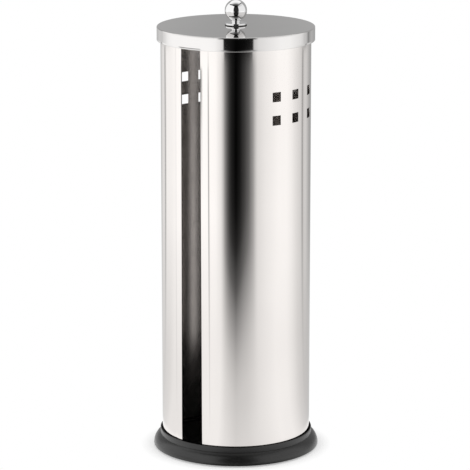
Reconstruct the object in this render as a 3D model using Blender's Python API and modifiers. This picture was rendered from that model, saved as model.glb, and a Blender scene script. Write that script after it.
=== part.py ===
"""Free-standing holder for spare toilet rolls.

A tall stainless canister with a dispensing slot down its front and two rows of square
windows stands in the collar of a flared plastic base on four rubber feet. A pressed lid
with a chromed ball knob lifts off its rolled top edge. All sizes are metres. +Z is up, the
slot faces -Y and the origin is the centre of the footprint on the table.
"""

import math

import bmesh
import bpy
from mathutils import Matrix, Vector

# Clearances shared by neighbouring pieces
SEAT_GAP = 0.0003
CUT_OVERRUN = 0.004

# Canister tube, rolled from stainless sheet
TUBE_RADIUS = 0.0690
TUBE_HEIGHT = 0.3909
TUBE_SHEET = 0.0005
BEAD_DIAMETER = 0.0026

# Dispensing slot down the front, with its edges folded back inside
SLOT_TOP_WIDTH = 0.0213
SLOT_FOOT_WIDTH = 0.0232
SLOT_TOP_SETBACK = 0.0095
SLOT_FOOT_SETBACK = 0.0056
HEM_WIDTH = 0.0055

# Square windows, in two rows of three on each side of the slot
WINDOW_SIZE = 0.0088
WINDOW_TOP_SETBACK = 0.0549
WINDOW_ROW_PITCH = 0.0214
WINDOW_ROWS = 2
WINDOW_COLUMNS_DEGREES = (68.5, 87.6, 109.8, -82.3, -99.4, -116.5)

# Base moulding
BASE_OVERHANG = 0.0082
BASE_HEIGHT = 0.0161
BASE_WALL = 0.0020
BASE_SIDE_HEIGHT = 0.0007
BASE_FOOT_EDGE = 0.0006
COLLAR_WALL = 0.0017
COLLAR_HEIGHT = 0.0052
RIM_LEAD_IN = 0.0003
RIM_EDGE = 0.0007
FLOOR_RISE = 0.0046
FLOOR_THICKNESS = 0.0022
LOCATING_RING_HEIGHT = 0.0020
LOCATING_RING_WALL = 0.0015
RIB_COUNT = 12
RIB_THICKNESS = 0.0014
RIB_DEPTH = 0.0018
INNER_RING_RIB_RADIUS = 0.0130
OUTER_RING_RIB_RADIUS = 0.0410

# Rubber feet
FOOT_COUNT = 4
FOOT_RADIUS = 0.0070
FOOT_THICKNESS = 0.0025
FOOT_PROUD = 0.0015
FOOT_INSET = 0.0110
FOOT_EDGE = 0.0004
BOSS_MARGIN = 0.0010

# Pressed lid
LID_SHEET = 0.0005
LID_SIDE_CLEARANCE = 0.00034
LID_SKIRT_HEIGHT = 0.01275
LID_EDGE_RADIUS = 0.0016
LID_CROWN = 0.0005
LID_HEM_HEIGHT = 0.0042

# Ball knob and its fastening
BALL_RADIUS = 0.0102
KNOB_NECK_RADIUS = 0.0041
KNOB_NECK_LENGTH = 0.0012
KNOB_FLANGE_RADIUS = 0.0099
KNOB_FLANGE_HEIGHT = 0.0012
KNOB_FLANGE_EDGE = 0.0006
KNOB_FLANGE_RISE = 0.0007
GASKET_RADIUS = 0.0101
GASKET_THICKNESS = 0.0005
SCREW_RADIUS = 0.0018
SCREW_ENGAGEMENT = 0.0085
SCREW_HEAD_RADIUS = 0.0040
SCREW_HEAD_HEIGHT = 0.0024
SCREW_HEAD_EDGE = 0.0008
WASHER_RADIUS = 0.0075
WASHER_THICKNESS = 0.0010

# Facets
LARGE_STEPS = 72
KNOB_STEPS = 36
SMALL_STEPS = 20
CREASE_ANGLE = math.radians(32)
WELD_DISTANCE = 0.00001

# Places that follow from the sizes above
SOCKET_RADIUS = TUBE_RADIUS + SEAT_GAP
COLLAR_RADIUS = SOCKET_RADIUS + COLLAR_WALL
COLLAR_FOOT = BASE_HEIGHT - COLLAR_HEIGHT
BASE_RADIUS = TUBE_RADIUS + BASE_OVERHANG
FLOOR_TOP = FOOT_PROUD + FLOOR_RISE
TUBE_FOOT = FLOOR_TOP + SEAT_GAP
TUBE_TOP = TUBE_FOOT + TUBE_HEIGHT
TUBE_BORE = TUBE_RADIUS - TUBE_SHEET
BEAD_RADIUS = TUBE_BORE + BEAD_DIAMETER
LID_HEM_BORE = BEAD_RADIUS + LID_SIDE_CLEARANCE
LID_RADIUS = LID_HEM_BORE + 2 * LID_SHEET
LID_RIM_TOP = TUBE_TOP + SEAT_GAP + LID_SHEET
LID_CENTRE_TOP = LID_RIM_TOP + LID_CROWN
SCREW_BORE = SCREW_RADIUS + SEAT_GAP
GASKET_FOOT = LID_CENTRE_TOP + SEAT_GAP
KNOB_FOOT = GASKET_FOOT + GASKET_THICKNESS + SEAT_GAP


def clear_scene():
    """Remove whatever the file holds before the holder is built."""
    for obj in list(bpy.data.objects):
        bpy.data.objects.remove(obj, do_unlink=True)


def new_collection(name):
    """Make a collection below the scene's own."""
    collection = bpy.data.collections.new(name)
    bpy.context.scene.collection.children.link(collection)
    return collection


def principled(name, colour, roughness, metallic):
    """Make a plain Principled material."""
    material = bpy.data.materials.new(name)
    material.use_nodes = True
    shader = material.node_tree.nodes["Principled BSDF"]
    shader.inputs["Base Color"].default_value = (*colour, 1.0)
    shader.inputs["Roughness"].default_value = roughness
    shader.inputs["Metallic"].default_value = metallic
    return material


def arc(centre_r, centre_z, radius, start, end, steps):
    """Points on an arc of a profile, the angles measured from +X towards +Z."""
    angles = [start + (end - start) * i / steps for i in range(steps + 1)]
    return [(centre_r + radius * math.cos(a), centre_z + radius * math.sin(a)) for a in angles]


def turned(name, outline, steps, closed, collection):
    """Turn an outline of (radius, height) points about Z, top to bottom down its outer side."""
    mesh = bpy.data.meshes.new(name)
    edges = [(i, i + 1) for i in range(len(outline) - 1)]
    if closed:
        edges.append((len(outline) - 1, 0))
    mesh.from_pydata([(r, 0.0, z) for r, z in outline], edges, [])
    obj = bpy.data.objects.new(name, mesh)
    collection.objects.link(obj)
    screw = obj.modifiers.new("turn", "SCREW")
    screw.axis = "Z"
    screw.angle = math.tau
    screw.steps = steps
    screw.render_steps = steps
    screw.use_merge_vertices = True
    screw.merge_threshold = WELD_DISTANCE
    return obj


def boolean(obj, operation, tool):
    """Cut or join a piece with a tool, which stays in the cutters' collection."""
    modifier = obj.modifiers.new(tool.name, "BOOLEAN")
    modifier.operation = operation
    modifier.solver = "EXACT"
    modifier.object = tool
    tool.hide_render = True
    tool.display_type = "WIRE"


def settle(obj, material):
    """Turn a piece's modifiers into its mesh, weld it, and shade its round faces smooth."""
    bpy.context.view_layer.update()
    evaluated = obj.evaluated_get(bpy.context.evaluated_depsgraph_get())
    mesh = bpy.data.meshes.new_from_object(evaluated)
    obj.modifiers.clear()
    obj.data = mesh
    work = bmesh.new()
    work.from_mesh(mesh)
    bmesh.ops.remove_doubles(work, verts=work.verts, dist=WELD_DISTANCE)
    work.to_mesh(mesh)
    work.free()
    mesh.shade_smooth()
    mesh.set_sharp_from_angle(angle=CREASE_ANGLE)
    mesh.materials.clear()
    mesh.materials.append(material)
    return obj


def mesh_object(name, work, collection):
    """Put a working mesh into a new object."""
    mesh = bpy.data.meshes.new(name)
    work.to_mesh(mesh)
    work.free()
    obj = bpy.data.objects.new(name, mesh)
    collection.objects.link(obj)
    return obj


def add_box(work, low, high, turn=0.0):
    """Add a box between two corners to a working mesh, turned about Z through an angle."""
    low, high = Vector(low), Vector(high)
    place = Matrix.Rotation(turn, 4, "Z") @ Matrix.Translation((low + high) / 2)
    bmesh.ops.create_cube(work, size=1.0, matrix=place @ Matrix.Diagonal((*(high - low), 1.0)))


def slot_prism(name, reach_in, side_margin, end_margin, collection):
    """A tapered block at the front of the tube, as wide as the slot plus a margin each side."""
    foot = SLOT_FOOT_SETBACK - end_margin
    top = TUBE_HEIGHT - SLOT_TOP_SETBACK + end_margin
    rows = ((foot, SLOT_FOOT_WIDTH / 2 + side_margin), (top, SLOT_TOP_WIDTH / 2 + side_margin))
    front, back = -TUBE_RADIUS - CUT_OVERRUN, -TUBE_RADIUS + reach_in
    corners = [(x, y, z) for z, half in rows for x, y in
               ((-half, front), (half, front), (half, back), (-half, back))]
    work = bmesh.new()
    bmesh.ops.convex_hull(work, input=[work.verts.new(corner) for corner in corners])
    return mesh_object(name, work, collection)


def make_tube(parts, cutters, material):
    """The rolled tube: a curled top edge, a hemmed slot and the rows of square windows."""
    bead = BEAD_DIAMETER / 2
    bead_centre = (TUBE_BORE + bead, TUBE_HEIGHT - bead)
    joint = math.asin((TUBE_RADIUS - bead_centre[0]) / bead)
    outline = arc(*bead_centre, bead, math.pi, -math.pi / 2 + joint, 9)
    outline += [(TUBE_RADIUS, 0.0), (TUBE_BORE, 0.0)]
    tube = turned("tube", outline, LARGE_STEPS, True, parts)

    # Folded edges double the sheet beside the slot
    hem_bore = TUBE_BORE - TUBE_SHEET
    hem_outline = [(TUBE_BORE + TUBE_SHEET / 2, TUBE_HEIGHT), (TUBE_BORE + TUBE_SHEET / 2, 0.0),
                   (hem_bore, 0.0), (hem_bore, TUBE_HEIGHT)]
    hem = turned("slot_hem", hem_outline, LARGE_STEPS, True, cutters)
    boolean(hem, "INTERSECT", slot_prism("hem_limit", TUBE_RADIUS / 2, HEM_WIDTH, 0.0, cutters))
    settle(hem, material)
    boolean(tube, "UNION", hem)
    boolean(tube, "DIFFERENCE", slot_prism("slot_cutter", TUBE_RADIUS / 2, 0.0, 0.0, cutters))

    # Square windows, punched straight through the wall
    work = bmesh.new()
    half = WINDOW_SIZE / 2
    for row in range(WINDOW_ROWS):
        height = TUBE_HEIGHT - WINDOW_TOP_SETBACK - row * WINDOW_ROW_PITCH
        for degrees in WINDOW_COLUMNS_DEGREES:
            low = (-half, -TUBE_RADIUS - CUT_OVERRUN, height - half)
            high = (half, -TUBE_BORE + CUT_OVERRUN, height + half)
            add_box(work, low, high, math.radians(degrees))
    boolean(tube, "DIFFERENCE", mesh_object("window_punch", work, cutters))
    settle(tube, material)
    tube.location.z = TUBE_FOOT


def flare_radius():
    """Radius of the arc that sweeps out from the collar's foot and ends upright at the base's side."""
    inset = BASE_RADIUS - COLLAR_RADIUS
    rise = COLLAR_FOOT - BASE_SIDE_HEIGHT
    return (inset ** 2 + rise ** 2) / (2 * inset)


def flare_arc(offset, lowest, highest, steps):
    """The base's flared side, offset inwards, between two heights above the base's foot."""
    reach = flare_radius() - offset
    angles = [math.asin((z - BASE_SIDE_HEIGHT) / reach) for z in (lowest, highest)]
    return arc(BASE_RADIUS - flare_radius(), BASE_SIDE_HEIGHT, reach, angles[0], angles[1], steps)


def flare_height(offset, radius_at):
    """The height at which the offset flare reaches a radius."""
    across = radius_at - (BASE_RADIUS - flare_radius())
    return BASE_SIDE_HEIGHT + math.sqrt((flare_radius() - offset) ** 2 - across ** 2)


def ring_rib(radius, top, bottom):
    """Outline of a round rib below the floor, from its outer side to its inner side."""
    half = RIB_THICKNESS / 2
    return [(radius + half, top), (radius + half, bottom), (radius - half, bottom), (radius - half, top)]


def make_base(parts, cutters, material):
    """The base: a floor, a collar round the tube's foot, a flared skirt and ribs below."""
    floor = FLOOR_RISE
    underside = floor - FLOOR_THICKNESS
    rib_foot = underside - RIB_DEPTH
    ring_outer = TUBE_BORE - TUBE_SHEET - SEAT_GAP
    ring_inner = ring_outer - LOCATING_RING_WALL
    socket_outer = SOCKET_RADIUS + BASE_WALL
    inner_foot = BASE_RADIUS - BASE_WALL

    outline = [(0.0, floor), (ring_inner, floor), (ring_inner, floor + LOCATING_RING_HEIGHT),
               (ring_outer, floor + LOCATING_RING_HEIGHT), (ring_outer, floor), (SOCKET_RADIUS, floor),
               (SOCKET_RADIUS, BASE_HEIGHT - RIM_LEAD_IN), (SOCKET_RADIUS + RIM_LEAD_IN, BASE_HEIGHT)]
    outline += arc(COLLAR_RADIUS - RIM_EDGE, BASE_HEIGHT - RIM_EDGE, RIM_EDGE, math.pi / 2, 0.0, 3)
    outline += flare_arc(0.0, COLLAR_FOOT, BASE_SIDE_HEIGHT, 8)
    outline += [(BASE_RADIUS, BASE_FOOT_EDGE), (BASE_RADIUS - BASE_FOOT_EDGE, 0.0), (inner_foot, 0.0)]
    outline += flare_arc(BASE_WALL, BASE_SIDE_HEIGHT, flare_height(BASE_WALL, socket_outer), 3)
    outline += [(socket_outer, underside)]
    outline += ring_rib(OUTER_RING_RIB_RADIUS, underside, rib_foot)
    outline += ring_rib(INNER_RING_RIB_RADIUS, underside, rib_foot)
    outline += [(0.0, underside)]
    base = turned("base", outline, LARGE_STEPS, False, parts)

    # Straight ribs and foot bosses below the floor
    work = bmesh.new()
    half = RIB_THICKNESS / 2
    inside_floor = underside + FLOOR_THICKNESS / 2
    for rib in range(RIB_COUNT):
        low = (INNER_RING_RIB_RADIUS, -half, rib_foot)
        high = (BASE_RADIUS - BASE_WALL / 2, half, inside_floor)
        add_box(work, low, high, math.tau * rib / RIB_COUNT)
    boss_foot = FOOT_THICKNESS + SEAT_GAP - FOOT_PROUD
    for place in foot_places():
        height = inside_floor - boss_foot
        lift = Matrix.Translation((*place, boss_foot + height / 2))
        bmesh.ops.create_cone(work, cap_ends=True, segments=SMALL_STEPS, depth=height, matrix=lift,
                              radius1=FOOT_RADIUS + BOSS_MARGIN, radius2=FOOT_RADIUS + BOSS_MARGIN)
    boolean(base, "UNION", mesh_object("base_ribs", work, cutters))
    settle(base, material)
    base.location.z = FOOT_PROUD


def foot_places():
    """Centres of the feet, midway between two ribs each."""
    circle = TUBE_RADIUS - FOOT_INSET
    angles = [math.tau * (i + 0.5) / FOOT_COUNT for i in range(FOOT_COUNT)]
    return [(circle * math.cos(a), circle * math.sin(a)) for a in angles]


def make_feet(parts, material):
    """Four rubber discs with a softened lower edge."""
    outline = [(0.0, FOOT_THICKNESS), (FOOT_RADIUS, FOOT_THICKNESS), (FOOT_RADIUS, FOOT_EDGE),
               (FOOT_RADIUS - FOOT_EDGE, 0.0), (0.0, 0.0)]
    for number, place in enumerate(foot_places(), start=1):
        foot = turned(f"foot_{number}", outline, SMALL_STEPS, False, parts)
        foot.location = (*place, 0.0)
        settle(foot, material)


def crown_height(radius, outer):
    """Height of the lid's slight dome at a radius, zero where the edge rounding starts."""
    return LID_CROWN * (1 - (radius / outer) ** 2)


def make_lid(parts, carrier, material):
    """The lid: a faintly domed top, a rounded edge and a skirt with a folded hem."""
    flat = LID_RADIUS - LID_EDGE_RADIUS
    shares = (0.35, 0.6, 0.8)
    dome = [(SCREW_BORE, crown_height(SCREW_BORE, flat))]
    dome += [(flat * share, crown_height(flat * share, flat)) for share in shares]
    edge = arc(flat, -LID_EDGE_RADIUS, LID_EDGE_RADIUS, math.pi / 2, 0.0, 4)
    hem_top = LID_HEM_HEIGHT - LID_SKIRT_HEIGHT
    hem_turn = arc(LID_RADIUS - LID_SHEET, LID_SHEET - LID_SKIRT_HEIGHT, LID_SHEET, 0.0, -math.pi, 4)
    inner_edge = arc(flat, -LID_EDGE_RADIUS, LID_EDGE_RADIUS - LID_SHEET, 0.0, math.pi / 2, 3)
    below = [(radius, height - LID_SHEET) for radius, height in reversed(dome)]
    outline = dome + edge + hem_turn + [(LID_HEM_BORE, hem_top), (LID_RADIUS - LID_SHEET, hem_top)]
    outline += inner_edge + below
    lid = turned("lid", outline, LARGE_STEPS, True, parts)
    lid.parent = carrier
    lid.location.z = LID_RIM_TOP - carrier.location.z
    return settle(lid, material)


def make_knob(parts, carrier, material):
    """The ball knob: a ball on a waisted neck that spreads into a round flange."""
    ball_foot = KNOB_FLANGE_HEIGHT + KNOB_FLANGE_RISE + KNOB_NECK_LENGTH
    ball_centre = ball_foot + math.sqrt(BALL_RADIUS ** 2 - KNOB_NECK_RADIUS ** 2)
    meeting = -math.acos(KNOB_NECK_RADIUS / BALL_RADIUS)
    outline = arc(0.0, ball_centre, BALL_RADIUS, math.pi / 2, meeting, 14)
    shoulder = KNOB_FLANGE_RADIUS - KNOB_FLANGE_EDGE
    spread = shoulder - KNOB_NECK_RADIUS
    for step in range(4):
        along = step / 4
        outline.append((KNOB_NECK_RADIUS + spread * along ** 1.5,
                        KNOB_FLANGE_HEIGHT + KNOB_FLANGE_RISE * (1 - along) ** 1.5))
    outline += arc(shoulder, KNOB_FLANGE_HEIGHT - KNOB_FLANGE_EDGE, KNOB_FLANGE_EDGE, math.pi / 2, 0.0, 3)
    outline += [(KNOB_FLANGE_RADIUS, 0.0), (SCREW_BORE, 0.0)]
    bore_top = SCREW_ENGAGEMENT + SEAT_GAP
    outline += [(SCREW_BORE, bore_top), (0.0, bore_top + SCREW_BORE / 2)]
    knob = turned("knob", outline, KNOB_STEPS, False, parts)
    knob.parent = carrier
    knob.location.z = KNOB_FOOT - carrier.location.z
    return settle(knob, material)


def make_gasket(parts, carrier, material):
    """The thin rubber ring that keeps the knob's flange off the polished lid."""
    outline = [(GASKET_RADIUS, GASKET_THICKNESS), (GASKET_RADIUS, 0.0), (SCREW_BORE, 0.0),
               (SCREW_BORE, GASKET_THICKNESS)]
    gasket = turned("knob_gasket", outline, KNOB_STEPS, True, parts)
    gasket.parent = carrier
    gasket.location.z = GASKET_FOOT - carrier.location.z
    return settle(gasket, material)


def make_washer(parts, carrier, material):
    """The broad washer that spreads the screw's pull under the lid."""
    outline = [(WASHER_RADIUS, 0.0), (WASHER_RADIUS, -WASHER_THICKNESS),
               (SCREW_BORE, -WASHER_THICKNESS), (SCREW_BORE, 0.0)]
    washer = turned("knob_washer", outline, SMALL_STEPS, True, parts)
    washer.parent = carrier
    washer.location.z = LID_CENTRE_TOP - LID_SHEET - SEAT_GAP - carrier.location.z
    return settle(washer, material)


def make_screw(parts, carrier, material):
    """The pan-head screw that holds the knob from below, its head down."""
    head_seat = LID_CENTRE_TOP - LID_SHEET - WASHER_THICKNESS - 2 * SEAT_GAP
    tip = KNOB_FOOT + SCREW_ENGAGEMENT - head_seat
    outline = [(0.0, tip), (SCREW_RADIUS, tip - SCREW_RADIUS / 2), (SCREW_RADIUS, 0.0), (SCREW_HEAD_RADIUS, 0.0),
               (SCREW_HEAD_RADIUS, SCREW_HEAD_EDGE - SCREW_HEAD_HEIGHT),
               (SCREW_HEAD_RADIUS - SCREW_HEAD_EDGE, -SCREW_HEAD_HEIGHT), (0.0, -SCREW_HEAD_HEIGHT)]
    screw = turned("knob_screw", outline, SMALL_STEPS, False, parts)
    screw.parent = carrier
    screw.location.z = head_seat - carrier.location.z
    return settle(screw, material)


def make_holder():
    """Build every piece of the holder."""
    clear_scene()
    parts = new_collection("toilet_roll_holder")
    cutters = new_collection("cutters")

    stainless = principled("polished_stainless", (0.66, 0.64, 0.62), 0.18, 1.0)
    chrome = principled("knob_chrome", (0.78, 0.78, 0.78), 0.04, 1.0)
    zinc = principled("zinc_plate", (0.60, 0.60, 0.58), 0.35, 1.0)
    plastic = principled("black_plastic", (0.022, 0.021, 0.020), 0.38, 0.0)
    rubber = principled("black_rubber", (0.035, 0.035, 0.035), 0.80, 0.0)

    make_base(parts, cutters, plastic)
    make_feet(parts, rubber)
    make_tube(parts, cutters, stainless)

    # The lid and its knob lift off together along this empty's Z axis
    carrier = bpy.data.objects.new("lid_lift_axis", None)
    carrier.location = (0.0, 0.0, TUBE_TOP)
    parts.objects.link(carrier)
    make_lid(parts, carrier, stainless)
    make_gasket(parts, carrier, rubber)
    make_knob(parts, carrier, chrome)
    make_washer(parts, carrier, zinc)
    make_screw(parts, carrier, zinc)


make_holder()
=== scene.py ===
"""Looks of the toilet roll holder: polished tube, mirror lid, ball knob and black base.

Lengths are in metres and angles in radians, unless a name or comment says otherwise.
Z runs up the tube's axis, and the slot faces -Y.
"""
import math

import bpy
import numpy as np
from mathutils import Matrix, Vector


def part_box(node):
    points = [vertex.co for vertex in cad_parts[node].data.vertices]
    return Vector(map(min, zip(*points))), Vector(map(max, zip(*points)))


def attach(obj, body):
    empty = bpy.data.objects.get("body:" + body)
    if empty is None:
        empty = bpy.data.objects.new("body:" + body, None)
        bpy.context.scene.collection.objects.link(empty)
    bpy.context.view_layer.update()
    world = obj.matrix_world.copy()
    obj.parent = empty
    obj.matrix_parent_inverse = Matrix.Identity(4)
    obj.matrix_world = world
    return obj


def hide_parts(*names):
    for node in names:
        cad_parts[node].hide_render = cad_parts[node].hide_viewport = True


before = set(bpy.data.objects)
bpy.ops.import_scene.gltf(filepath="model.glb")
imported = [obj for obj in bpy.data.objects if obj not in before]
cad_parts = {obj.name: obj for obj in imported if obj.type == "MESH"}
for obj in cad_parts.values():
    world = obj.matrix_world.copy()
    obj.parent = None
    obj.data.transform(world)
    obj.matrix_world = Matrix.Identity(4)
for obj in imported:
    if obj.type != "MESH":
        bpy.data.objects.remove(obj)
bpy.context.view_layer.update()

MM = 0.001
PHOTO_PIXELS = 470
VIEW_TURN = math.radians(36.3)

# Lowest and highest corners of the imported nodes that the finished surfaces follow
TUBE_LOW, TUBE_HIGH = (np.array(corner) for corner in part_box("tube"))
LID_LOW, LID_HIGH = (np.array(corner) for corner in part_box("lid"))
KNOB_LOW, KNOB_HIGH = (np.array(corner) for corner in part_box("knob"))
BASE_LOW, BASE_HIGH = (np.array(corner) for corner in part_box("base"))
GASKET_LOW, GASKET_HIGH = (np.array(corner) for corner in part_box("knob_gasket"))
FOOT_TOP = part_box("foot_1")[1][2]

# Sizes that several pieces share
SHEET = 0.5 * MM
SEAT_GAP = 0.3 * MM
SCREW_HOLE = 2.1 * MM

# The tube
BEAD = 1.3 * MM
BORE = TUBE_HIGH[0] - 2 * BEAD
WALL = BORE + SHEET
SLOT_TOP_HALF = 10.65 * MM
SLOT_FOOT_HALF = 11.6 * MM
SLOT_TOP = TUBE_HIGH[2] - 9.5 * MM
SLOT_FOOT = TUBE_LOW[2] + 5.6 * MM
SLOT_EDGE = math.asin(SLOT_TOP_HALF / WALL)
HEM = 5.5 * MM
HEM_EDGE = SLOT_EDGE + HEM / WALL
HEM_STEP = SLOT_EDGE + np.array([6.5, 8.8]) * MM / WALL
HEM_SWELL = 0.36 * MM
LEAN_END = math.radians(60)
LOBE = math.radians(133.3)
LOBE_HEIGHT = 1.12 * MM
WINDOW_HALF = 4.4 * MM
WINDOW_EDGE = math.asin(WINDOW_HALF / WALL)
WINDOW_ROWS = TUBE_HIGH[2] - np.array([54.9, 76.3]) * MM
WINDOW_COLUMNS = np.radians([68.5, 87.6, 109.8, -82.3, -99.4, -116.5])

# The base's underside
INNER_RING = 13.0 * MM
OUTER_RING = 41.0 * MM
RIB_DEPTH = 1.8 * MM


# Shader expressions

class Tree:
    """A node tree under construction, with one method for every kind of node."""

    def __init__(self, tree):
        self.tree = tree

    def node(self, kind, settings=None, **sockets):
        """Add a node, apply its settings, then fill or link its sockets.

        A socket goes by its name or identifier, with _ for a space. The setting stops holds
        a ramp's places and colours.
        """
        node = self.tree.nodes.new(kind)
        for key, value in (settings or {}).items():
            if key == "stops":
                self._set_stops(node.color_ramp, value)
            else:
                setattr(node, key, value)
        for key, value in sockets.items():
            socket = next(s for s in node.inputs
                          if s.enabled and key in (s.identifier, s.name.replace(" ", "_")))
            self.feed(socket, value)
        return node

    def feed(self, socket, value):
        """Link a value or a node's output to a socket, or set a constant on it."""
        if isinstance(value, Value):
            value = value.socket
        if isinstance(value, bpy.types.NodeSocket):
            self.tree.links.new(value, socket)
        else:
            socket.default_value = value

    def value(self, socket):
        return Value(self, socket)

    def _set_stops(self, ramp, stops):
        while len(ramp.elements) > 1:
            ramp.elements.remove(ramp.elements[-1])
        for index, (place, colour) in enumerate(stops):
            element = ramp.elements[0] if index == 0 else ramp.elements.new(place)
            element.position = place
            element.color = (*colour, 1.0)


class Value:
    """A shader socket that takes part in Python sums, each of which adds a Math node."""

    def __init__(self, tree, socket):
        self.tree = tree
        self.socket = socket

    def _math(self, operation, first, second=None, use_clamp=False):
        terms = {"Value": first}
        if second is not None:
            terms["Value_001"] = second
        settings = {"operation": operation, "use_clamp": use_clamp}
        return self.tree.value(self.tree.node("ShaderNodeMath", settings, **terms).outputs[0])

    def __add__(self, other):
        return self._math("ADD", self, other)

    __radd__ = __add__

    def __sub__(self, other):
        return self._math("SUBTRACT", self, other)

    def __rsub__(self, other):
        return self._math("SUBTRACT", other, self)

    def __mul__(self, other):
        return self._math("MULTIPLY", self, other)

    __rmul__ = __mul__

    def power(self, exponent):
        return self._math("POWER", self, exponent)

    def cosine(self):
        return self._math("COSINE", self)

    def larger(self, other):
        return self._math("MAXIMUM", self, other)

    def angle_from(self, other):
        """The angle whose tangent is this value over the other."""
        return self._math("ARCTAN2", self, other)

    def clamped(self):
        """This value, kept from 0 to 1."""
        return self._math("ADD", self, 0.0, use_clamp=True)

    def length_with(self, other):
        """Root of the sum of both squares."""
        return (self * self + other * other).power(0.5)


class Finish(Tree):
    """A material under construction."""

    def __init__(self, name):
        self.material = bpy.data.materials.new(name)
        self.material.use_nodes = True
        super().__init__(self.material.node_tree)
        self.tree.nodes.clear()
        self.output = self.node("ShaderNodeOutputMaterial")

    def place(self):
        """The three object coordinates as values, and the vector itself."""
        place = self.node("ShaderNodeTexCoord").outputs["Object"]
        split = self.node("ShaderNodeSeparateXYZ", Vector=place)
        x, y, z = (self.value(output) for output in split.outputs)
        return x, y, z, place

    def noise(self, vector, scale, detail=2.0):
        node = self.node("ShaderNodeTexNoise", Vector=vector, Scale=scale, Detail=detail)
        return self.value(node.outputs["Fac"])

    def rolling_grain(self, x, y, z, along):
        """Fine lines round the tube: noise on three times the angle about Z and on the height, times along."""
        stretched = self.node("ShaderNodeCombineXYZ", X=y.angle_from(x) * 3.0, Y=0.0, Z=z * along)
        return self.noise(stretched.outputs[0], 2.0, 3.0)

    def colours(self, factor, stops):
        return self.node("ShaderNodeValToRGB", {"stops": stops}, Fac=factor).outputs["Color"]

    def bump(self, height, strength, distance):
        node = self.node("ShaderNodeBump", Height=height, Strength=strength, Distance=distance)
        return node.outputs["Normal"]

    def surface(self, shader):
        self.feed(self.output.inputs["Surface"], shader.outputs[0])
        return self.material

    def principled(self, **sockets):
        return self.surface(self.node("ShaderNodeBsdfPrincipled", **sockets))


def rolled_stainless():
    """Bright rolled sheet: a faint circumferential polish and cloudy variation in colour and gloss."""
    finish = Finish("rolled_stainless")
    x, y, z, place = finish.place()
    grain = finish.rolling_grain(x, y, z, 900.0)
    cloud = finish.noise(place, 14.0)
    colour = finish.colours(cloud, [(0.3, (0.775, 0.742, 0.720)), (0.7, (0.800, 0.768, 0.745))])
    rough = 0.055 + 0.02 * grain + 0.01 * cloud
    bump = finish.bump(grain, 0.02, 0.05 * MM)
    return finish.principled(Base_Color=colour, Metallic=1.0, Roughness=rough, Normal=bump)


def mill_stainless():
    """The tube's unpolished inside: greyer sheet with a soft sheen, rolling marks and three slow lobes.

    The lobes are a bump of height cos(3 (t - LOBE)), with t the angle about Z.
    """
    finish = Finish("mill_stainless")
    x, y, z, place = finish.place()
    lobes = (y.angle_from(x) * 3.0 - 3.0 * LOBE).cosine()
    grain = finish.rolling_grain(x, y, z, 600.0)
    cloud = finish.noise(place, 20.0)
    colour = finish.colours(cloud, [(0.3, (0.72, 0.69, 0.67)), (0.7, (0.77, 0.74, 0.72))])
    bump = finish.bump(lobes, 1.0, LOBE_HEIGHT)
    return finish.principled(Base_Color=colour, Metallic=1.0, Roughness=0.18 + 0.015 * grain, Normal=bump)


def black_plastic():
    """Satin moulded plastic: near black and slightly warm, finely eroded, and matt within the collar."""
    finish = Finish("black_plastic")
    x, y, _, place = finish.place()
    collar_middle, blend = WALL + 1.6 * MM, 0.25 * MM
    within = ((collar_middle - x.length_with(y)) * (1.0 / blend)).clamped()
    fine = finish.noise(place, 2200.0)
    cloud = finish.noise(place, 25.0)
    colour = finish.colours(cloud, [(0.3, (0.0045, 0.0042, 0.0040)), (0.7, (0.0065, 0.0062, 0.0060))])
    rough = 0.28 + 0.05 * cloud + 0.4 * within
    bump = finish.bump(fine, 0.12, 0.06 * MM)
    return finish.principled(Base_Color=colour, Roughness=rough, Specular_IOR_Level=0.6, Normal=bump)


def clouded_finish(name, scale, detail, stops, rough, more_rough, metallic=1.0):
    """A finish whose colour and roughness follow one noise: roughness is rough + more_rough times it."""
    finish = Finish(name)
    cloud = finish.noise(finish.place()[3], scale, detail)
    return finish.principled(Base_Color=finish.colours(cloud, stops), Metallic=metallic,
                             Roughness=rough + more_rough * cloud)


def mirror_stainless():
    """The lid's mirror polish: almost no blur, with faint buffing clouds."""
    stops = [(0.3, (0.715, 0.700, 0.690)), (0.7, (0.735, 0.720, 0.710))]
    return clouded_finish("mirror_stainless", 30.0, 3.0, stops, 0.03, 0.02)


def knob_chrome():
    """Mirror chrome plate with the faintest variation in polish."""
    stops = [(0.3, (0.80, 0.80, 0.80)), (0.7, (0.83, 0.83, 0.83))]
    return clouded_finish("knob_chrome", 120.0, 2.0, stops, 0.02, 0.02)


def black_rubber():
    """Matt moulded rubber with a dusty bloom."""
    stops = [(0.3, (0.025, 0.025, 0.025)), (0.8, (0.055, 0.054, 0.052))]
    return clouded_finish("black_rubber", 900.0, 3.0, stops, 0.7, 0.2, metallic=0.0)


def zinc_plate():
    """Dull zinc plate with a spangled variation."""
    stops = [(0.3, (0.50, 0.51, 0.52)), (0.7, (0.64, 0.64, 0.62))]
    return clouded_finish("zinc_plate", 1500.0, 2.0, stops, 0.28, 0.2)


# Surfaces

def smooth(start, end, value):
    """Smooth step from 0 at start to 1 at end, as 3 s^2 - 2 s^3 of the share s. End may lie below start."""
    share = np.clip((value - start) / (end - start), 0.0, 1.0)
    return share * share * (3 - 2 * share)


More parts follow.
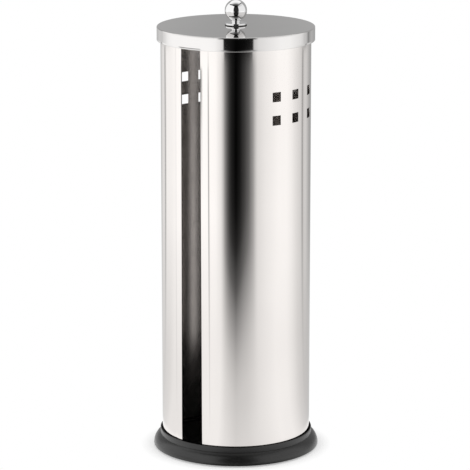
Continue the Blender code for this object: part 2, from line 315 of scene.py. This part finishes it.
def mesh_piece(name, points, quads, material, body, *nodes, inner=None, inner_faces=None):
    """Put arrays of points and quads into a smooth mesh that rides on a body.

    A quad that names a point twice becomes a triangle. inner is a second finish, for the
    faces that inner_faces marks.
    """
    mesh = bpy.data.meshes.new(name)
    mesh.from_pydata(points, [], [tuple(dict.fromkeys(quad)) for quad in quads.tolist()])
    mesh.shade_smooth()
    mesh.set_sharp_from_angle(angle=math.radians(38))
    mesh.materials.append(material)
    if inner:
        mesh.materials.append(inner)
        mesh.polygons.foreach_set("material_index", inner_faces.astype(np.int32))
    obj = bpy.data.objects.new(name, mesh)
    bpy.context.scene.collection.objects.link(obj)
    if body:
        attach(obj, body)
    if nodes:
        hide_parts(*nodes)
    return obj


def grid_quads(rows, columns, wrap_columns=False, wrap_rows=False):
    """Quads of a grid whose point index is row * columns + column."""
    last_row = rows if wrap_rows else rows - 1
    last_column = columns if wrap_columns else columns - 1
    row, column = np.meshgrid(np.arange(last_row), np.arange(last_column), indexing="ij")
    after_row, after_column = (row + 1) % rows, (column + 1) % columns
    return np.stack([row * columns + column, row * columns + after_column,
                     after_row * columns + after_column, after_row * columns + column], -1)


def lathe(profile, steps):
    """Turn a profile of (radius, height) about Z: point = (r cos t, r sin t, h), t over a full turn.

    The profile runs down the outer side. A pole is welded, and a profile that meets itself is closed.
    """
    profile = np.asarray(profile)
    closed = np.allclose(profile[0], profile[-1])
    if closed:
        profile = profile[:-1]
    turn = np.arange(steps) * math.tau / steps
    r, h = profile[:, 0][:, None], profile[:, 1][:, None]
    points = np.stack([r * np.cos(turn), r * np.sin(turn), h + 0 * turn], -1).reshape(-1, 3)
    quads = grid_quads(len(profile), steps, True, closed).reshape(-1, 4)[:, ::-1]
    return weld(points, quads)


def weld(points, quads):
    """Merge points that coincide to a hundredth of a micron, and drop faces that collapse."""
    keys = np.round(points / 1e-8).astype(np.int64)
    _, first, inverse = np.unique(keys, axis=0, return_index=True, return_inverse=True)
    quads = inverse.reshape(-1)[quads]
    doubled = (quads == np.roll(quads, -1, axis=1)).sum(axis=1)
    return points[first], quads[doubled <= 1]


def arc(centre, radius, start, end, count):
    """Points on an arc from start to end, in degrees, with both ends: centre + radius (cos t, sin t)."""
    turn = np.radians(np.linspace(start, end, count))
    return np.stack([centre[0] + radius * np.cos(turn), centre[1] + radius * np.sin(turn)], -1)


def inner_points(start, end, parts):
    """The points that cut a straight line into so many equal parts, without its ends."""
    share = np.linspace(0.0, 1.0, parts, endpoint=False)[1:, None]
    return np.array(start) + share * (np.array(end) - np.array(start))


def turned_piece(name, parts, steps, material, body, *nodes):
    """Join the parts of a profile, turn it about Z and make it a piece."""
    profile = np.concatenate([np.asarray(part) for part in parts])
    points, quads = lathe(profile, steps)
    return mesh_piece(name, points, quads, material, body, *nodes)


def make_lid(material):
    """The pressed lid, turned: a shallow dome, the edge's arc, the skirt and the hem inside it.

    The dome's height is the rim's plus crown (1 - (r / flat)^2), and the underside lies a sheet lower.
    """
    crown, edge, hem_height = 0.5 * MM, 1.0 * MM, 4.2 * MM
    outer, rim, skirt_foot = LID_HIGH[0], LID_HIGH[2] - crown, LID_LOW[2]
    flat = outer - edge
    radii = np.linspace(SCREW_HOLE, flat, 40, endpoint=False)
    top = np.stack([radii, rim + crown * (1 - (radii / flat) ** 2)], -1)
    parts = [
        top,
        arc((flat, rim - edge), edge, 90, 0, 12),
        inner_points((outer, rim - edge), (outer, skirt_foot + SHEET), 8),
        arc((outer - SHEET, skirt_foot + SHEET), SHEET, 0, -180, 10),
        [(outer - 2 * SHEET, skirt_foot + hem_height), (outer - SHEET, skirt_foot + hem_height)],
        arc((flat, rim - edge), edge - SHEET, 0, 90, 8),
        top[::-1] - [0.0, SHEET],
        top[:1],
    ]
    return turned_piece("lid_pressing", parts, 192, material, "lid_with_knob", "lid")


def make_knob(material):
    """The ball knob, turned: a sphere's arc, a neck, and a flange whose top sweeps out as a hollow curve.

    Along the sweep, radius grows with share^1.5 and height falls with (1 - share)^1.5.
    """
    ball, neck, flange = 10.2 * MM, 4.1 * MM, 9.9 * MM
    flange_top, sweep_rise = KNOB_LOW[2] + 1.2 * MM, 0.7 * MM
    shoulder, foot_edge = 0.6 * MM, 0.2 * MM
    foot = KNOB_LOW[2] - 0.45 * MM
    hole_depth, hole_tip = 8.8 * MM, 9.85 * MM
    centre = KNOB_HIGH[2] - ball
    meeting = -math.degrees(math.acos(neck / ball))
    share = np.linspace(0.0, 1.0, 14, endpoint=False)
    sweep = np.stack([neck + (flange - shoulder - neck) * share ** 1.5,
                      flange_top + sweep_rise * (1 - share) ** 1.5], -1)
    parts = [
        arc((0.0, centre), ball, 90, meeting, 60),
        sweep,
        arc((flange - shoulder, flange_top - shoulder), shoulder, 90, 0, 7),
        arc((flange - foot_edge, foot + foot_edge), foot_edge, 0, -90, 4),
        [(SCREW_HOLE, foot), (SCREW_HOLE, foot + hole_depth), (0.0, foot + hole_tip)],
    ]
    return turned_piece("ball_knob", parts, 96, material, "lid_with_knob", "knob")


def make_gasket(material):
    """The rubber ring under the knob, turned: flat, with a rounded rim, touching lid and flange."""
    outer, edge = GASKET_HIGH[0], 0.15 * MM
    low, high = GASKET_LOW[2] - 0.28 * MM, GASKET_HIGH[2] - 0.17 * MM
    parts = [
        [(SCREW_HOLE, high)],
        arc((outer - edge, high - edge), edge, 90, 0, 4),
        arc((outer - edge, low + edge), edge, 0, -90, 4),
        [(SCREW_HOLE, low), (SCREW_HOLE, high)],
    ]
    return turned_piece("flange_gasket", parts, 96, material, "lid_with_knob", "knob_gasket")


def make_base(material):
    """The moulded base, turned: floor, locating ring, collar with a lead-in, flare and ribbed underside.

    The flare is one arc, upright at its foot, that rises from the side to the collar's foot.
    Its radius is (inset^2 + rise^2) / (2 inset).
    """
    foot, top, outer = BASE_LOW[2], BASE_HIGH[2], BASE_HIGH[0]
    wall = 2.0 * MM
    floor = foot + 4.6 * MM
    under = floor - 2.2 * MM

    socket = WALL + SEAT_GAP
    collar, collar_foot, collar_edge = socket + 1.7 * MM, top - 5.2 * MM, 0.6 * MM
    lead_depth, lead_width, lead_edge = 2.0 * MM, 0.9 * MM, 0.2 * MM

    ring_outer = BORE - SHEET - SEAT_GAP
    ring_inner = ring_outer - 1.5 * MM
    ring_top, ring_bevel = floor + 2.0 * MM, 0.2 * MM

    side, foot_edge = foot + 0.7 * MM, 0.6 * MM
    inset, rise = outer - collar, collar_foot - side
    flare = (inset ** 2 + rise ** 2) / (2 * inset)
    flare_start = math.degrees(math.asin(rise / flare))
    hollow = arc((outer - flare, side), flare - wall, 0, 60, 24)
    hollow = hollow[hollow[:, 0] > socket + wall]

    rib_root, rib_foot = 0.7 * MM, 0.6 * MM
    ring_ribs = [(middle + out, under - depth) for middle in (OUTER_RING, INNER_RING)
                 for out, depth in ((rib_root, 0.0), (rib_foot, RIB_DEPTH), (-rib_foot, RIB_DEPTH), (-rib_root, 0.0))]
    parts = [
        [(0.0, floor), (ring_inner, floor), (ring_inner, ring_top - ring_bevel), (ring_inner + ring_bevel, ring_top),
         (ring_outer - ring_bevel, ring_top), (ring_outer, ring_top - ring_bevel), (ring_outer, floor),
         (socket, floor), (socket, top - lead_depth), (socket + lead_width, top - lead_edge)],
        arc((socket + lead_width + lead_edge, top - lead_edge), lead_edge, 180, 90, 5),
        arc((collar - collar_edge, top - collar_edge), collar_edge, 90, 0, 8),
        arc((outer - flare, side), flare, flare_start, 0, 40),
        arc((outer - foot_edge, foot + foot_edge), foot_edge, 0, -90, 6),
        [(outer - wall, foot)],
        hollow,
        [(socket + wall, under)],
        ring_ribs,
        [(0.0, under)],
    ]
    moulding = turned_piece("base_moulding", parts, 192, material, "canister", "base")
    return moulding, make_ribs(material, under, outer - wall)


def make_ribs(material, under, reach):
    """Twelve straight ribs, boxes turned about Z, and four round bosses above the feet, on the diagonals."""
    ribs, half_thickness, bite = 12, 0.65 * MM, 0.4 * MM
    low, high = under - RIB_DEPTH, under + bite
    corner = np.array([(x, y, z) for x in (0.0, 1.0) for y in (-1.0, 1.0) for z in (0.0, 1.0)])
    box = np.array([(0, 1, 3, 2), (4, 6, 7, 5), (0, 4, 5, 1), (2, 3, 7, 6), (0, 2, 6, 4), (1, 5, 7, 3)])
    x, y = INNER_RING + corner[:, 0] * (reach - INNER_RING), corner[:, 1] * half_thickness
    turn = np.arange(ribs)[:, None] * math.tau / ribs
    points = np.stack([x * np.cos(turn) - y * np.sin(turn), x * np.sin(turn) + y * np.cos(turn),
                       low + (corner[:, 2] + 0 * turn) * (high - low)], -1).reshape(-1, 3)
    quads = (box[None] + len(corner) * np.arange(ribs)[:, None, None]).reshape(-1, 4)

    boss, bevel, boss_foot = 8.0 * MM, 0.3 * MM, FOOT_TOP + 0.05 * MM
    disc, faces = lathe([(0.0, high), (boss, high), (boss, boss_foot + bevel), (boss - bevel, boss_foot),
                         (0.0, boss_foot)], 48)
    foot_circle = WALL - 11.0 * MM
    for bearing in np.radians([45, 135, 225, 315]):
        centre = foot_circle * np.array([math.cos(bearing), math.sin(bearing), 0.0])
        quads = np.concatenate([quads, faces + len(points)])
        points = np.concatenate([points, disc + centre])
    return mesh_piece("base_ribs", points, quads, material, "canister")


# The tube. Its grid has columns by angle from the slot's middle, and rows by height.

def slot_half(height):
    """Half the slot's width at a height, a straight taper from foot to top."""
    share = (height - SLOT_FOOT) / (SLOT_TOP - SLOT_FOOT)
    return SLOT_FOOT_HALF + (SLOT_TOP_HALF - SLOT_FOOT_HALF) * share


def spaced(marks, spacing, least):
    """Even steps of about a spacing, and least many, from each mark to the next, without the last mark."""
    return np.concatenate([np.linspace(low, high, max(least, int(round((high - low) / spacing))), endpoint=False)
                           for low, high in zip(marks[:-1], marks[1:])])


def tube_columns():
    """Angles all round, with lines on the slot's, the hem's and the windows' edges."""
    front = [SLOT_EDGE, HEM_EDGE, *HEM_STEP]
    windows = sorted(middle + side * WINDOW_EDGE for middle in WINDOW_COLUMNS for side in (-1, 1))
    marks = ([-math.pi] + [mark for mark in windows if mark < 0] + [-mark for mark in front[::-1]] + front
             + [mark for mark in windows if mark > 0] + [math.pi])
    return spaced(marks, math.radians(2.2), 6)


def tube_rows(wall_top):
    """Heights up the wall, with lines on the slot's and the windows' edges."""
    marks = [TUBE_LOW[2], SLOT_FOOT]
    for row in WINDOW_ROWS[::-1]:
        marks += [row - WINDOW_HALF, row + WINDOW_HALF]
    return np.append(spaced(marks + [SLOT_TOP, wall_top], 20 * MM, 2), wall_top)


def lean(columns, heights):
    """How far columns move with the slot's taper: all of its change at the slot's edge and over the hem.

    From there the share fades to nothing at the slot's middle and at LEAN_END, in proportion to the angle.
    """
    shift = np.arcsin(slot_half(np.clip(heights, SLOT_FOOT, SLOT_TOP)) / WALL) - SLOT_EDGE
    fade = np.clip((LEAN_END - np.abs(columns)) / (LEAN_END - HEM_EDGE), 0, 1)
    fade = np.where(np.abs(columns) < SLOT_EDGE, np.abs(columns) / SLOT_EDGE, fade)
    return np.sign(columns)[None, :] * fade[None, :] * shift[:, None]


def make_tube(material, inner_material):
    """The rolled wall as two sheets on one grid: angle across, height up, joined along every edge.

    A point is (r sin t, -r cos t, h). The outer sheet has r = WALL and the inner r = BORE, less one
    more sheet where the slot's edge is folded back. Over the fold the wall stands a little proud,
    by a smooth step at the hem's end. Above, both follow the curl: an arc that turns outwards and down.
    """
    wall_top = TUBE_HIGH[2] - BEAD
    columns, rows = tube_columns(), tube_rows(wall_top)
    curl = (BORE + BEAD, wall_top)
    outer, inner = (np.concatenate([np.stack([np.full(len(rows), radius), rows], -1),
                                    arc(curl, curl_radius, 180, -90, 28)[1:]])
                    for radius, curl_radius in ((WALL, BEAD - SHEET), (BORE, BEAD)))
    heights = outer[:, 1]
    on_wall = np.arange(len(outer)) < len(rows)

    tolerance = 1e-6
    angle = columns[None, :] + lean(columns, heights)
    in_slot = (heights > SLOT_FOOT - tolerance) & (heights < SLOT_TOP + tolerance) & on_wall
    folded = in_slot[:, None] & (np.abs(columns) < HEM_EDGE + tolerance)[None, :]
    ends = (smooth(TUBE_LOW[2] + 4 * MM, TUBE_LOW[2] + 9 * MM, heights)
            * (1 - smooth(TUBE_HIGH[2] - 12 * MM, TUBE_HIGH[2] - 5 * MM, heights)))
    swell = HEM_SWELL * ends[:, None] * (1 - smooth(*HEM_STEP, np.abs(columns)))[None, :]

    def sheet(profile, drop):
        radius = profile[:, 0][:, None] - drop + swell
        up = profile[:, 1][:, None] + 0 * angle
        return np.stack([radius * np.sin(angle), -radius * np.cos(angle), up], -1).reshape(-1, 3)

    points = np.concatenate([sheet(outer, 0.0), sheet(inner, folded * SHEET)])
    quads = grid_quads(len(outer), len(columns), wrap_columns=True)
    open_cell = tube_openings(columns, heights, on_wall)
    solid, beyond = quads[~open_cell], len(outer) * len(columns)
    bottom, top = quads[0], quads[-1]
    faces = np.concatenate([
        solid,
        solid[:, ::-1] + beyond,
        *rim_faces(quads, open_cell, beyond),
        np.stack([bottom[:, 1], bottom[:, 0], bottom[:, 0] + beyond, bottom[:, 1] + beyond], -1),
        np.stack([top[:, 3], top[:, 2], top[:, 2] + beyond, top[:, 3] + beyond], -1),
    ])
    inside = np.arange(len(faces)) // len(solid) == 1
    return mesh_piece("rolled_tube", points, faces, material, "canister", "tube", inner=inner_material,
                      inner_faces=inside)


def tube_openings(columns, heights, on_wall):
    """The grid's open cells: those whose middle lies in the slot or in a window."""
    across = (columns + np.append(columns[1:], math.pi)) / 2
    up = (heights[:-1] + heights[1:]) / 2
    wall_cell = on_wall[1:]
    slot_column, slot_row = np.abs(across) < SLOT_EDGE, (up > SLOT_FOOT) & (up < SLOT_TOP) & wall_cell
    window_column = (np.abs(across[:, None] - WINDOW_COLUMNS[None, :]) < WINDOW_EDGE).any(1)
    window_row = (np.abs(up[:, None] - WINDOW_ROWS[None, :]) < WINDOW_HALF).any(1) & wall_cell
    return (slot_row[:, None] & slot_column[None, :]) | (window_row[:, None] & window_column[None, :])


def rim_faces(quads, open_cell, beyond):
    """Faces across the sheet's thickness, where a solid cell meets an open one on each of its four sides."""
    found = []
    edges = {(0, -1): (3, 0), (0, 1): (1, 2), (-1, 0): (0, 1), (1, 0): (2, 3)}
    for (row_step, column_step), (first, second) in edges.items():
        beside = np.roll(open_cell, (-row_step, -column_step), (0, 1))
        if row_step:
            beside[0 if row_step < 0 else -1] = False
        cells = quads[~open_cell & beside]
        found.append(np.stack([cells[:, second], cells[:, first],
                               cells[:, first] + beyond, cells[:, second] + beyond], -1))
    return found


# The stage: cards that only polished metal and gloss see, a pale floor and soft lamps. A card is a
# grid round the holder, whose points carry their own brightness. The tables below give that brightness
# by bearing, in degrees from the camera's side, positive towards its right.

STAGE_RADIUS = 1.6
STAGE_TOP = 1.75
CARD_FLOOR = -0.002
BEARINGS = np.linspace(-180.0, 180.0, 721)
PANEL_BLUR = 0.02

WALL_MIDDLE = [
    (-180, 0.50), (-167, 0.62), (-157, 0.58), (-150, 0.68), (-145, 0.74), (-132, 0.76), (-128, 0.89), (-122, 0.98),
    (-116, 1.14), (-110, 1.22), (-100, 1.28), (-40, 1.30), (-30, 1.25),
    (-21, 1.05), (-18.5, 0.95), (-16.5, 0.02), (-12, 0.012), (0, 0.002), (12, 0.004), (19, 0.010), (23.5, 0.025),
    (26, 0.75), (32, 0.95),
    (45, 1.06), (67, 1.22), (83, 1.22), (92, 1.13), (106, 1.0), (111, 0.90), (116, 0.74), (120, 0.71), (123, 0.62),
    (126, 0.42), (128.5, 0.30), (130, 0.30), (132.5, 0.46), (141, 0.55), (152, 0.47), (160, 0.40), (180, 0.48)]
WALL_FOOT = [
    (-180, 0.40), (-165, 0.55), (-155, 0.74), (-147, 0.88), (-140, 0.92), (-138.5, 0.48), (-135.5, 0.48),
    (-133.5, 0.92), (-130, 1.12), (-114, 1.16), (-100, 1.28), (-40, 1.30), (-30, 1.25),
    (-22, 0.98), (-19.3, 0.70), (-16, 0.30), (-12.8, 0.12), (-9.6, 0.042), (-6.4, 0.015), (0, 0.001), (6.4, 0.012),
    (12.8, 0.055), (19.2, 0.14), (25.7, 0.40), (29, 0.68), (32.3, 0.90),
    (45, 1.06), (67, 1.22), (83, 1.22), (92, 1.13), (102, 0.98), (114, 0.84), (118, 0.78), (120, 0.45), (123, 0.45),
    (125, 0.76), (133, 0.78), (141, 0.62), (147, 0.50), (153, 0.42), (180, 0.40)]
WALL_TOP = [
    (-180, 0.39), (-175, 0.45), (-140, 0.42), (-132, 0.47), (-128, 1.15), (-27, 1.15), (-23, 0.035), (0, 0.025),
    (28, 0.035), (32, 1.0), (110, 1.0), (122, 0.47), (130, 0.42), (175, 0.45), (180, 0.39)]
NEAR_FLOOR = [
    (-180, 0.66), (-150, 0.72), (-134, 0.78), (-116, 0.88), (-104, 1.0), (-60, 1.05), (-36, 1.10), (-22, 1.10),
    (-14, 0.97), (0, 0.84), (15, 0.86), (32, 0.97), (60, 1.12), (80, 1.10), (92, 0.99), (106, 0.82), (127, 0.67),
    (140, 0.62), (180, 0.66)]
# Brightness of the floor card close round the base, by bearing: a painted contact shadow, darkest towards the camera,
# for the base's gloss to mirror
CONTACT_FLOOR_PAINTED_SHADOW = [
    (-180, 1.0), (-60, 1.25), (-30, 0.8), (-12, 0.1), (0, 0.03), (12, 0.05), (25, 0.3), (45, 0.7), (75, 1.0),
    (180, 1.0)]

# The share of the near floor's brightness by distance, and what that distance is multiplied by at a bearing
NEAR_SHARE = [
    (0.0, 1.0), (0.12, 1.0), (0.183, 0.95), (0.28, 0.89), (0.384, 0.745), (0.536, 0.44), (0.706, 0.134),
    (0.897, 0.024), (1.09, 0.004), (1.4, 0.0)]
NEAR_STRETCH = [
    (-180, 0.70), (-30, 0.70), (-16, 0.75), (-9.6, 0.86), (0, 1.0), (12.8, 0.80), (19.2, 0.73), (30, 0.70),
    (180, 0.70)]

# Brightness overhead, by distance towards the camera
OVERHEAD = [
    (-1.6, 1.2), (-0.3, 1.1), (0.0, 0.80), (0.05, 0.72), (0.19, 0.44), (0.49, 0.10), (0.85, 0.03), (1.3, 0.0)]


def look_up(table, places):
    """A table's value at each place, in straight lines between its rows."""
    return np.interp(places, *np.array(table).T)


def stage_piece(name, points, quads, material, hidden_from):
    """A surface of the stage, hidden from some kinds of ray."""
    obj = mesh_piece(name, points, quads, material, None)
    for ray in hidden_from:
        setattr(obj, "visible_" + ray, False)
    return obj


def card(name, material, radius, height, level):
    """A reflection card that only glossy rays see, with a row for each radius and height.

    With t the bearing plus the camera's, a point is (r sin t, -r cos t, h), and level is its brightness.
    """
    turn = np.radians(BEARINGS)[None, :] + VIEW_TURN
    radius, height = radius[:, None], height[:, None]
    points = np.stack([radius * np.sin(turn), -radius * np.cos(turn), height + 0 * turn], -1).reshape(-1, 3)
    quads = grid_quads(len(radius), len(BEARINGS)).reshape(-1, 4)
    obj = stage_piece(name, points, quads, material,
                      ("camera", "diffuse", "transmission", "shadow", "volume_scatter"))
    layer = obj.data.attributes.new("level", "FLOAT", "POINT")
    layer.data.foreach_set("value", level.astype(np.float32).ravel())


def card_finish():
    """The cards' light, as bright as the level that their points carry."""
    finish = Finish("reflection_card")
    level = finish.node("ShaderNodeAttribute", {"attribute_name": "level"})
    return finish.surface(finish.node("ShaderNodeEmission", Strength=level.outputs["Fac"]))


def behind_slot():
    """1 at the bearings that the tube would mirror where its slot is, and 0 elsewhere."""
    return smooth(-92, -86, BEARINGS) * smooth(-50, -54, BEARINGS)


def make_wall_card(material):
    """The upright card: white at both sides and dark round the camera, with thin gaps between the cards.

    Foot, middle and top mix by smooth steps of the height, and the foot darkens behind the slot.
    """
    height = np.concatenate([np.linspace(STAGE_TOP, 0.2, 40), np.linspace(0.19, CARD_FLOOR, 49)])
    up = height[:, None]
    foot, top = smooth(0.132, 0.120, up), smooth(0.18, 0.30, up)
    shade = behind_slot() * smooth(-0.06, 0.12, up) * smooth(0.125, 0.108, up)
    level = (look_up(WALL_FOOT, BEARINGS) * foot * (1 - shade) + look_up(WALL_MIDDLE, BEARINGS) * (1 - foot - top)
             + look_up(WALL_TOP, BEARINGS) * top)
    card("wall_cards", material, np.full_like(height, STAGE_RADIUS), height, level)


def make_floor_card(material):
    """The card on the floor: white near the holder, and like the wall's foot farther out.

    The share of the near brightness falls with distance, soonest towards the camera. Close round the
    base it gives way to a painted contact shadow, dark towards the camera and light at the sides, and far
    out it darkens a little behind the slot.
    """
    reach = np.linspace(STAGE_RADIUS, 0.0, 160)
    out = reach[:, None]
    near = look_up(NEAR_SHARE, out * look_up(NEAR_STRETCH, BEARINGS))
    # Painted contact shadow: the card's brightness close round the base is swapped for the table above
    contact_shadow_share = smooth(0.130, 0.112, out)
    open_floor = look_up(NEAR_FLOOR, BEARINGS) * near + look_up(WALL_FOOT, BEARINGS) * (1 - near)
    level = look_up(CONTACT_FLOOR_PAINTED_SHADOW, BEARINGS) * contact_shadow_share + open_floor * (1 - contact_shadow_share)
    level = level * (1 - 0.26 * behind_slot() * smooth(1.1, 1.6, out))
    card("floor_card", material, reach, np.full_like(reach, CARD_FLOOR), level)


def make_overhead_card(material):
    """The card overhead: light that fades towards the camera, and two side panels, each past a dark gap.

    A panel starts where the distance along its own bearing passes an edge, and it is white past the gap.
    """
    reach, turn = np.linspace(0.0, STAGE_RADIUS, 160), np.radians(BEARINGS)
    out = reach[:, None]
    level = look_up(OVERHEAD, out * np.cos(turn))
    panels = (
        {"bearing": -53, "edge": 0.78, "width": 0.31, "dark": 0.01, "white": 1.15, "side": BEARINGS < -23},
        {"bearing": 74, "edge": 0.66, "width": 0.26, "dark": 0.18, "white": 0.8, "side": BEARINGS > 28},
    )
    for panel in panels:
        along = out * np.cos(turn - math.radians(panel["bearing"]))
        start, end = panel["edge"], panel["edge"] + panel["width"]
        gap = smooth(start, start + PANEL_BLUR, along) * panel["side"]
        lit = smooth(end, end + PANEL_BLUR, along) * panel["side"]
        level = (level * (1 - gap) + panel["dark"] * gap) * (1 - lit) + panel["white"] * lit
    card("overhead_card", material, reach, np.full_like(reach, STAGE_TOP), level)


def make_floor():
    """A pale floor disc that shows as white to the camera and keeps the object's shadow.

    To the camera it glows by a share of 0.4 at the base's rim, which grows to 1 within shadow_width.
    """
    shadow_start, shadow_width = 0.080, 0.010
    radius, height = 6.0, -0.05 * MM
    finish = Finish("pale_floor")
    x, y = finish.place()[:2]
    outside = ((x.length_with(y) - shadow_start) * (1.0 / shadow_width)).clamped()
    seen = finish.value(finish.node("ShaderNodeLightPath").outputs["Is Camera Ray"])
    diffuse = finish.node("ShaderNodeBsdfDiffuse", Color=(0.95, 0.95, 0.95, 1.0))
    glow = finish.node("ShaderNodeEmission", Strength=1.0)
    material = finish.surface(finish.node("ShaderNodeMixShader", Fac=seen * (0.4 + 0.6 * outside),
                                          Shader=diffuse.outputs[0], Shader_001=glow.outputs[0]))
    points, quads = lathe([(0.0, height), (radius, height)], 64)
    stage_piece("pale_floor", points, quads, material, ("glossy",))


def make_world():
    """Even soft light all round, and pure white where the camera, gloss or glass looks past the floor."""
    light, white = 0.95, 1.0
    world = bpy.data.worlds.new("soft_studio")
    bpy.context.scene.world = world
    world.use_nodes = True
    sky = Tree(world.node_tree)
    path = sky.node("ShaderNodeLightPath")
    camera, glossy, transmission = (sky.value(path.outputs[f"Is {ray} Ray"])
                                    for ray in ("Camera", "Glossy", "Transmission"))
    background = world.node_tree.nodes["Background"]
    sky.feed(background.inputs["Color"], (1.0, 1.0, 1.0, 1.0))
    sky.feed(background.inputs["Strength"],
             light + (white - light) * camera.larger(glossy).larger(transmission))


def make_lamps():
    """Two broad soft lamps, left and right of the camera, that polished metal doesn't show."""
    distance, height, tilt = 1.4, 1.2, math.radians(58)
    for name, bearing, power in (("left_softbox", -55.0, 5.0), ("right_softbox", 62.0, 3.5)):
        data = bpy.data.lights.new(name, "AREA")
        data.shape = "RECTANGLE"
        data.size, data.size_y = 0.9, 1.3
        data.energy = power
        lamp = bpy.data.objects.new(name, data)
        turn = VIEW_TURN + math.radians(bearing)
        lamp.location = (distance * math.sin(turn), -distance * math.cos(turn), height)
        lamp.rotation_euler = (tilt, 0.0, turn)
        lamp.visible_glossy = False
        bpy.context.scene.collection.objects.link(lamp)


def make_camera():
    """A long lens in front of the holder, turned towards its right and looking slightly down."""
    distance, height, aside = 2.5036, 0.78824, 0.0008
    tilt = math.radians(13.185)
    focal_pixels = 2767.7
    data = bpy.data.cameras.new("camera")
    data.sensor_width = 36.0
    data.lens = focal_pixels / PHOTO_PIXELS * data.sensor_width
    data.clip_start, data.clip_end = 0.1, 50.0
    toward = np.array([math.sin(VIEW_TURN), -math.cos(VIEW_TURN), 0.0])
    right = np.array([math.cos(VIEW_TURN), math.sin(VIEW_TURN), 0.0])
    camera = bpy.data.objects.new("camera", data)
    camera.location = toward * distance - right * aside + np.array([0.0, 0.0, height])
    camera.rotation_euler = (math.pi / 2 - tilt, 0.0, VIEW_TURN)
    bpy.context.scene.collection.objects.link(camera)
    bpy.context.scene.camera = camera


def dress(node, material):
    """Give a CAD node its finish."""
    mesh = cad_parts[node].data
    mesh.materials.clear()
    mesh.materials.append(material)


make_camera()
make_world()
make_lamps()
card_material = card_finish()
make_wall_card(card_material)
make_floor_card(card_material)
make_overhead_card(card_material)
make_floor()

plastic, rubber, zinc = black_plastic(), black_rubber(), zinc_plate()

make_tube(rolled_stainless(), mill_stainless())
make_lid(mirror_stainless())
make_knob(knob_chrome())
make_gasket(rubber)
for piece in make_base(plastic):
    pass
dress("knob_screw", zinc)
dress("knob_washer", zinc)
for number in range(1, 5):
    dress(f"foot_{number}", rubber)

bpy.context.scene.view_settings.view_transform = "Standard"
